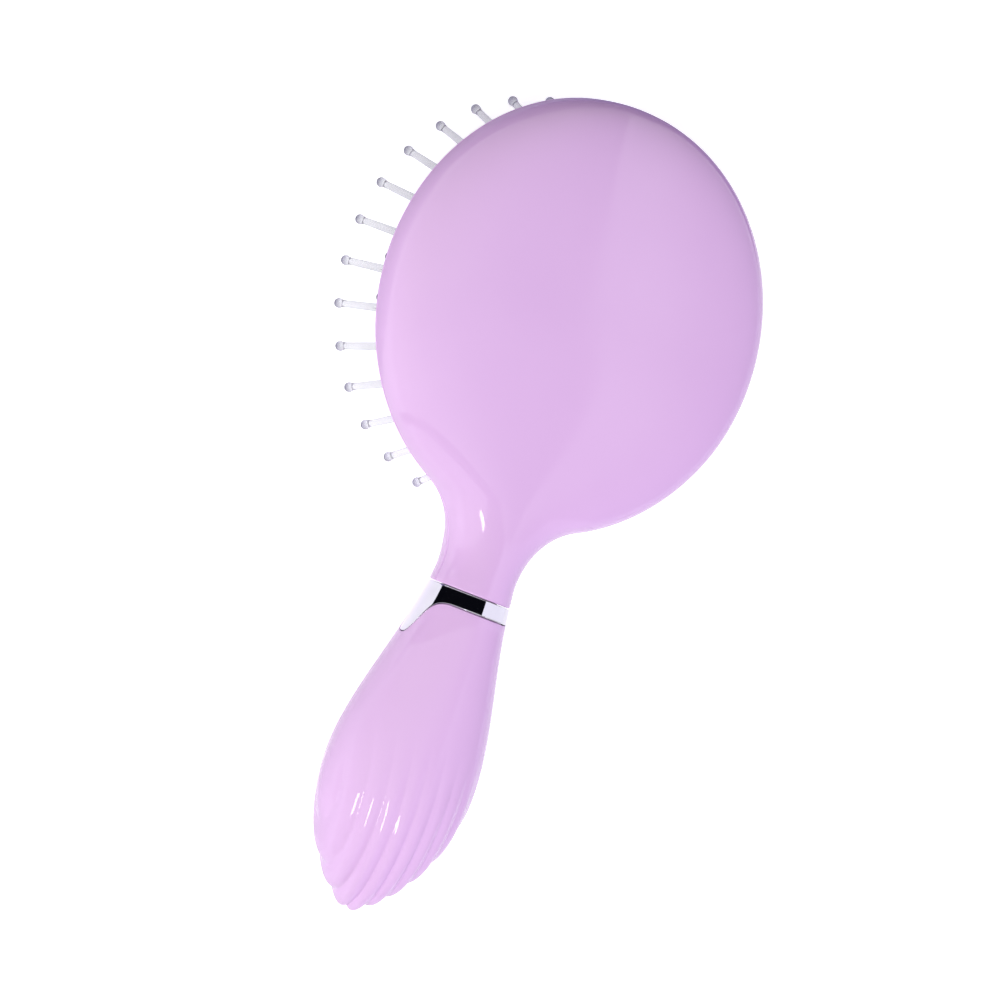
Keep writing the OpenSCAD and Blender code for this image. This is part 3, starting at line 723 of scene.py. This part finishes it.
def ringTree():
    # sets one shape on a ring of places on the pad, each leaning as the pad does there
    sizes = dict.fromkeys(("Ring radius", "First turn", "Lean", "Depth"), "Float")
    tree, given = newTree("ringOnPad", {"Shape": "Object", "Pins": "Int", **sizes})
    index = addNode(tree, "GeometryNodeInputIndex")
    step = addNode(tree, "ShaderNodeMath", {0: 2 * math.pi, 1: given["Pins"]}, operation="DIVIDE")
    turn = addNode(tree, "ShaderNodeMath", {0: index, 1: step}, operation="MULTIPLY")
    turn = addNode(tree, "ShaderNodeMath", {0: turn, 1: given["First turn"]}, operation="ADD")
    cosine = addNode(tree, "ShaderNodeMath", {0: turn}, operation="COSINE")
    sine = addNode(tree, "ShaderNodeMath", {0: turn}, operation="SINE")
    x = addNode(tree, "ShaderNodeMath", {0: cosine, 1: given["Ring radius"]}, operation="MULTIPLY")
    y = addNode(tree, "ShaderNodeMath", {0: sine, 1: given["Ring radius"]}, operation="MULTIPLY")
    z = addNode(tree, "ShaderNodeMath", {0: given["Depth"], 1: -1.0}, operation="MULTIPLY")
    place = addNode(tree, "ShaderNodeCombineXYZ", {"X": x, "Y": y, "Z": z})
    points = addNode(tree, "GeometryNodePoints", {"Count": given["Pins"], "Position": place})
    lean = addNode(tree, "ShaderNodeMath", {0: given["Lean"], 1: -1.0}, operation="MULTIPLY")
    angles = addNode(tree, "ShaderNodeCombineXYZ", {"Y": lean, "Z": turn})
    rotation = addNode(tree, "FunctionNodeEulerToRotation", {0: angles})
    shape = addNode(tree, "GeometryNodeObjectInfo", {"Object": given["Shape"]}).outputs["Geometry"]
    placed = addNode(tree, "GeometryNodeInstanceOnPoints", {
        "Points": points, "Instance": shape, "Rotation": rotation})
    return endTree(tree, placed, given["Finish"])


def makePinShape():
    flange, ball, base, tip = pin["flangeRadius"], pin["ballRadius"], pin["baseRadius"], pin["tipRadius"]
    behind, soft, bevel = cushion["rubber"] + pin["fit"], pin["flangeRound"], pin["flangeBevel"]
    top = behind + pin["flangeThickness"]
    profile = [(0, top), (flange - soft, top), (flange, top - soft), (flange, behind + bevel),
               (flange - bevel, behind), (base + soft, behind), (base, behind - soft), (base, 0)]
    # the stem tapers and then widens in a long hollow curve that meets the ball without a crease
    first = math.asin(pin["joinShare"])
    joinZ = -pin["length"] + ball * math.cos(first)
    stemEnd = joinZ + pin["joinRun"]
    widening = pin["joinShare"] * ball - tip
    profile += [(base + (tip - base) * k, stemEnd * k) for k in (0.33, 0.66)]
    profile += [(tip + widening * u ** pin["joinPower"], stemEnd + (joinZ - stemEnd) * u)
                for u in np.linspace(0, 1, 8)]
    profile += [(ball * math.sin(t), -pin["length"] + ball * math.cos(t))
                for t in np.linspace(first, math.pi, 12)[1:]]
    shape = lathePiece("pinShape", profile, pin["facets"], pinNylon)
    # mask of the painted shade: 0 in the stem and rising through the ball to 1 at its tip
    paintedShade = [ease((joinZ + pin["paintedShadeStart"] - v.co.z) / pin["paintedShadeRun"]) for v in shape.data.vertices]
    shape.data.attributes.new("ball", "FLOAT", "POINT").data.foreach_set("value", np.array(paintedShade, np.float32))
    return shape


def makeRing(name, ring, shape, finish):
    piece = addPiece(name, bpy.data.meshes.new(name))
    runTree(piece, ringOnPad, {
        "Shape": shape, "Pins": ring["pins"], "Ring radius": ring["radius"],
        "First turn": math.radians(ring["turn"]), "Lean": padLean(ring["radius"]),
        "Depth": padDepth(ring["radius"]), "Finish": finish})
    return piece


def joinPieces(name, pieces, finish):
    joined = bmesh.new()
    for piece in pieces:
        joined.from_mesh(piece.data)
        bpy.data.objects.remove(piece)
    mesh = bpy.data.meshes.new(name)
    joined.to_mesh(mesh)
    joined.free()
    finishMesh(mesh, finish, 60)
    return addPiece(name, mesh)


def makePins(body):
    # the rings that move together are one mesh
    rings = {name: ring for name, ring in pinRings.items() if ring["body"] == body}
    pieces = [makeRing("set_" + name, ring, pinShape, pinNylon) for name, ring in rings.items()]
    return joinPieces("pins_" + body, pieces, pinNylon)


def makePad():
    rubber, soft = cushion["rubber"], cushion["flangeRound"]
    radius, low = cushion["radius"], -cushion["edgeDepth"]
    rim, high = radius + cushion["flange"], low + rubber
    profile = [(r, -padDepth(r)) for r in radius * np.linspace(0, 1, 70)]
    profile += [(radius + cushion["footRun"], low), (rim - soft, low), (rim, low + soft), (rim, high - soft),
                (rim - soft, high), (radius - rubber / 2, high)]
    for r in radius * np.linspace(1, 0, 40)[1:]:
        lean = padLean(r)
        profile.append((max(0, r - rubber * math.sin(lean)), rubber * math.cos(lean) - padDepth(r)))
    pad = lathePiece("plainPad", profile, 192, padRubber)
    # the vent hole lets the air out from under the pad
    turn = math.radians(cushion["ventAngle"])
    at, vent = cushion["ventAt"], cushion["ventRadius"]
    ventPlace = Vector((at * math.cos(turn), at * math.sin(turn), -padDepth(at)))
    cutter = lathePiece("ventCutter", [(0, -3), (vent, -3), (vent, 3), (0, 3)], 24, padRubber)
    cutter.location = ventPlace
    hole = pad.modifiers.new("vent", "BOOLEAN")
    hole.object = cutter
    hole.solver = "EXACT"
    keepResult(pad)
    bpy.data.objects.remove(cutter)
    ventLip = toMesh("ventLip", [turned([(vent + r, z) for r, z in cushion["ventLip"]], 24)], padRubber, 60)
    ventLip.data.transform(Matrix.Translation(ventPlace))
    pinLip = lathePiece("pinLip", cushion["pinLip"], 24, padRubber)
    pinLips = [makeRing("lip_" + name, ring, pinLip, padRubber) for name, ring in pinRings.items()]
    bpy.data.objects.remove(pinLip)
    return joinPieces("cushionPad", [pad, ventLip, *pinLips], padRubber)


ringOnPad = ringTree()
pinShape = makePinShape()
pinPieces = {body: makePins(body) for body in ("outer_pins", "second_pins", "third_pins", "inner_pins")}
bpy.data.objects.remove(pinShape)
cushionPad = makePad()
print("cushion and", sum(ring["pins"] for ring in pinRings.values()), "pins made")


# Each piece is moved to the frame, rides on its body and stands for its node. The frame's origin is under
# the middle of the brush's length, level with the tip of the centre pin.

tipTurn = math.pi * (-flutes["Lean"] * (handle["length"] - handle["bellyAt"]) / flutes["Pitch"] - 0.25)
tipDraw = fluteDraw * (1 - math.sqrt(math.cos(tipTurn) ** 2 + flutes["Softness"]))
handleReach = fluteCentre + (handle["length"] - fluteCentre) * (1 - tipDraw)
middleY = (head["centreY"] + head["radius"] - handleReach * math.cos(tilt)) / 2
tipDepth = cushion["edgeDepth"] + cushion["crown"] + pin["length"] + pin["ballRadius"]
placeMatrix = Matrix.Scale(0.001, 4) @ Matrix.Translation((0, -middleY, tipDepth))
tiltMatrix = placeMatrix @ Matrix.Rotation(tilt, 4, "X")
headMatrix = placeMatrix @ Matrix.Translation((0, head["centreY"], 0))

for piece, matrix, node, finishSlot in (
        (backShell, placeMatrix, "back_shell", "shell_plastic"),
        (frontFrame, placeMatrix, "front_frame", "shell_plastic"),
        (collarBand, tiltMatrix, "collar", "collar_metal"),
        (handleBack, tiltMatrix, "handle_back", "shell_plastic"),
        (handleFront, tiltMatrix, "handle_front", "shell_plastic"),
        (cushionPad, headMatrix, "cushion_pad", "pad_rubber")):
    piece.data.transform(matrix)
    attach(piece, "brush_body")
    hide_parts(node)
for body, pins in pinPieces.items():
    pins.data.transform(headMatrix)
    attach(pins, body)
    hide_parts(*[name for name, ring in pinRings.items() if ring["body"] == body])
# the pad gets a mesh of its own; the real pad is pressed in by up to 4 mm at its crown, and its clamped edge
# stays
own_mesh(cushionPad)
for name in ("pad_clamp_ring", "tang"):
    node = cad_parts[name]
    node.data.materials.clear()
    node.data.materials.append(innerAbs)
print("pieces ride on their bodies")


# The studio: a white paper floor, a room that gloss sees, two soft boxes, and cards that only gloss sees

studio = {
    "floorColour": "#F4F4F6",
    "floorReach": 3.0,
    "floorGlow": 0.25,      # what gloss and clear plastic see on top of the lit paper
    "shownGlow": 0.35,      # and what the camera sees on top of that
    "ambient": 0.22,        # the room's light on the brush
    "leftWall": 0.8,        # what gloss sees of the room far on the left
    "dimWall": 0.36,        # and where it is darkest, beside the bright wall on the right
    "dimRun": 0.4,          # it darkens over this much of the direction's X
    "brightWall": 1.13,
    "wallEdge": 0.519,      # the bright wall starts at this X
    "wallSoft": 0.002,      # with an edge blurred by this much
    "wallLean": 0.07,       # it leans by this share of Y
    "wallRun": 0.15,        # and fades over this much of X
    "wallEnd": 0.6,         # to this share of its light
}
# the shaded side of the brush is bluer, so the fill is cooler than the key
lamps = {
    "keySoftBox": {
        "direction": (-0.56, -0.38, 0.74), "distance": 1.1, "size": 0.9, "power": 12.2, "colour": "#FAFFF8"},
    "fillSoftBox": {
        "direction": (0.85, -0.1, 0.5), "distance": 1.3, "size": 1.0, "power": 9.2, "colour": "#ECDDFF"},
}
aim = Vector((0, 0, 0.02))


def softBox(name, direction, distance, size, power, colour):
    light = bpy.data.lights.new(name, "AREA")
    light.shape = "RECTANGLE"
    light.size = light.size_y = size
    light.energy = power
    light.color = hexColour(colour)[:3]
    lamp = addPiece(name, light)
    lamp.location = aim + Vector(direction).normalized() * distance
    lamp.rotation_euler = Vector(direction).to_track_quat("Z", "Y").to_euler()
    lamp.visible_glossy = False     # gloss sees the room and the cards instead


def seenDirectly(tree):
    # 1 for what the camera sees, by itself or in gloss or clear plastic, and 0 for light on a surface
    rays = addNode(tree, "ShaderNodeLightPath").outputs
    seen = addNode(tree, "ShaderNodeMath", {
        0: rays["Is Camera Ray"], 1: rays["Is Glossy Ray"]}, operation="MAXIMUM")
    seen = addNode(tree, "ShaderNodeMath", {0: seen, 1: rays["Is Transmission Ray"]}, operation="MAXIMUM")
    return seen, rays["Is Camera Ray"]


def addStage(name, points, faces, materialName):
    # a flat mesh that isn't part of the brush, and the empty tree of its material
    mesh = bpy.data.meshes.new(name)
    mesh.from_pydata(points, [], faces)
    material = bpy.data.materials.new(materialName)
    material.use_nodes = True
    material.node_tree.nodes.clear()
    mesh.materials.append(material)
    piece = addPiece(name, mesh)
    return piece, material


def makeFloor():
    reach = studio["floorReach"]
    corners = [(-reach, -reach, 0), (reach, -reach, 0), (reach, reach, 0), (-reach, reach, 0)]
    tree = addStage("studioFloor", corners, [(0, 1, 2, 3)], "white paper sweep")[1].node_tree
    # it reads as white to the camera and in gloss and clear plastic, and still takes the shadow
    seen, byCamera = seenDirectly(tree)
    paper = addNode(tree, "ShaderNodeBsdfDiffuse", {"Color": hexColour(studio["floorColour"])})
    strength = addNode(tree, "ShaderNodeMath", {0: seen, 1: studio["floorGlow"]}, operation="MULTIPLY")
    strength = addNode(tree, "ShaderNodeMath", {
        0: byCamera, 1: studio["shownGlow"], 2: strength}, operation="MULTIPLY_ADD")
    glow = addNode(tree, "ShaderNodeEmission", {"Color": (1, 1, 1, 1), "Strength": strength})
    both = addNode(tree, "ShaderNodeAddShader", {0: paper, 1: glow})
    addNode(tree, "ShaderNodeOutputMaterial", {"Surface": both})


def makeWorld():
    world = bpy.data.worlds.new("studio")
    world.use_nodes = True
    tree = world.node_tree
    tree.nodes.clear()
    seen, byCamera = seenDirectly(tree)
    # gloss sees a dim room on the left and a bright wall on the right, which fades
    direction = addNode(tree, "ShaderNodeTexCoord").outputs["Generated"]
    parts = addNode(tree, "ShaderNodeSeparateXYZ", {0: direction}).outputs
    across = addNode(tree, "ShaderNodeMath", {
        0: parts["Y"], 1: studio["wallLean"], 2: parts["X"]}, operation="MULTIPLY_ADD")
    edge, soft = studio["wallEdge"], studio["wallSoft"]
    room = addNode(tree, "ShaderNodeMapRange", {
        "Value": across, "From Min": edge - studio["dimRun"], "From Max": edge,
        "To Min": studio["leftWall"], "To Max": studio["dimWall"]})
    wall = addNode(tree, "ShaderNodeMapRange", {
        "Value": across, "From Min": edge - soft, "From Max": edge + soft,
        "To Min": room, "To Max": studio["brightWall"]}, interpolation_type="SMOOTHSTEP")
    fade = addNode(tree, "ShaderNodeMapRange", {
        "Value": across, "From Min": edge, "From Max": edge + studio["wallRun"],
        "To Min": 1.0, "To Max": studio["wallEnd"]})
    faded = addNode(tree, "ShaderNodeMath", {0: wall, 1: fade}, operation="MULTIPLY")
    inGloss = addNode(tree, "ShaderNodeBackground", {"Color": (1, 1, 1, 1), "Strength": faded})
    white = addNode(tree, "ShaderNodeBackground", {"Color": (1, 1, 1, 1), "Strength": 1.0})
    dim = addNode(tree, "ShaderNodeBackground", {"Color": (1, 1, 1, 1), "Strength": studio["ambient"]})
    shown = addNode(tree, "ShaderNodeMixShader", {0: byCamera, 1: inGloss, 2: white})
    mixed = addNode(tree, "ShaderNodeMixShader", {0: seen, 1: dim, 2: shown})
    addNode(tree, "ShaderNodeOutputWorld", {"Surface": mixed})
    bpy.context.scene.world = world


def makeCard(name, points, colour, glow=1.0, inClear=False):
    # a card that only gloss sees, and clear plastic if asked, as a photographer sets them round chrome
    points = np.asarray(points, float)
    faces = gridFaces(*points.shape[:2], wrapColumns=False)
    card, material = addStage(name, points.reshape(-1, 3).tolist(), faces, name + " card")
    material.cycles.emission_sampling = "NONE"
    plain = addNode(material.node_tree, "ShaderNodeEmission", {"Color": hexColour(colour), "Strength": glow})
    addNode(material.node_tree, "ShaderNodeOutputMaterial", {"Surface": plain})
    card.visible_camera = card.visible_diffuse = card.visible_shadow = card.visible_volume_scatter = False
    card.visible_transmission = inClear


def facing(start, direction, distance, along, size):
    # the corners of a card that stands at a distance from a place and faces it
    direction = Vector(direction).normalized()
    side = direction.cross(Vector(along)).normalized()
    length = side.cross(direction)
    middle = Vector(start) + direction * distance
    return [[middle + length * (size[0] * i / 2) + side * (size[1] * j / 2) for j in (-1, 1)] for i in (-1, 1)]


def flat(acrossX, alongY):
    # the corners of a card that lies just over the floor
    return [[(x, y, 0.001) for x in acrossX] for y in alongY]


def collarArc(start, end, off=0.04):
    # curls round the collar between two angles from straight above it, at a distance off its axis
    turn = np.radians(np.linspace(start, end, 40))
    axisZ = tipDepth / 1000
    return [[(off * math.sin(t), y, axisZ + off * math.cos(t)) for t in turn] for y in (-0.019, -0.008)]


towardsStrip, stripRun = (-0.345, -0.52, 0.775), (-0.453, 0.815, 0.362)
cards = {
    "collarFlag": {"points": collarArc(-104, 15), "colour": "#0A0B10"},
    "collarCard": {"points": collarArc(15, 88), "colour": "#F2F1FA", "glow": 1.25},
    "topFlag": {"points": flat((-0.08, 0.14), (0.098, 0.4)), "colour": "#6A4F96", "inClear": True},
    "rimFlag": {"points": flat((-0.12, 0.02), (0.0, 0.098)), "colour": "#8F88B0"},
    # a strip light that streaks the neck and the flutes
    "stripLight": {
        "points": facing((-0.008, -0.003, 0.034), towardsStrip, 1.0, stripRun, (0.276, 0.13)),
        "colour": "#FFFFFF", "glow": 12.0},
    # a scrim that hides it from the head's shoulder, as bright as the room far on the left
    "scrim": {
        "points": facing((-0.031, 0.017, 0.034), towardsStrip, 0.02, (-1, 1, 0), (0.022, 0.03)),
        "colour": "#E7E7E7"},
}

makeFloor()
makeWorld()
for name, lamp in lamps.items():
    softBox(name, **lamp)
for name, card in cards.items():
    makeCard(name, **card)
print("studio made")


# The camera, at the photograph's angle

view = {
    "yaw": 31.0,        # turned to the brush's left side
    "pitch": 3.585,
    "roll": 19.259,     # the picture leans by this much
    "distance": 3000.0,
    "shiftX": -6.127,   # where the collar's top stands from the picture's centre, in millimetres
    "shiftY": -18.754,
    "pixelsPerMillimetre": 5.0,
    "pictureWidth": 1000,
    "sensor": 36.0,
    "clip": (0.1, 12.0),
}


def makeCamera():
    yaw, pitch, roll = (math.radians(view[k]) for k in ("yaw", "pitch", "roll"))
    across = Vector((math.cos(yaw), 0, math.sin(yaw)))
    along = Vector((-math.sin(yaw) * math.sin(pitch), math.cos(pitch), math.cos(yaw) * math.sin(pitch)))
    towards = Vector((-math.sin(yaw) * math.cos(pitch), -math.sin(pitch), math.cos(yaw) * math.cos(pitch)))
    right = across * math.cos(roll) + along * math.sin(roll)
    up = along * math.cos(roll) - across * math.sin(roll)
    x, y = view["shiftX"], view["shiftY"]
    sideways = across * (-x * math.cos(roll) + y * math.sin(roll))
    place = sideways + along * (-x * math.sin(roll) - y * math.cos(roll)) + towards * view["distance"]
    lens = bpy.data.cameras.new("photoCamera")
    lens.sensor_width = view["sensor"]
    lens.lens = view["sensor"] * view["pixelsPerMillimetre"] * view["distance"] / view["pictureWidth"]
    lens.clip_start, lens.clip_end = view["clip"]
    camera = addPiece("photoCamera", lens)
    turn = Matrix((right, up, towards)).transposed().to_4x4()
    camera.matrix_world = Matrix.Translation(placeMatrix @ place) @ turn
    bpy.context.scene.camera = camera


makeCamera()
bpy.context.scene.view_settings.view_transform = "Standard"
print("camera set")
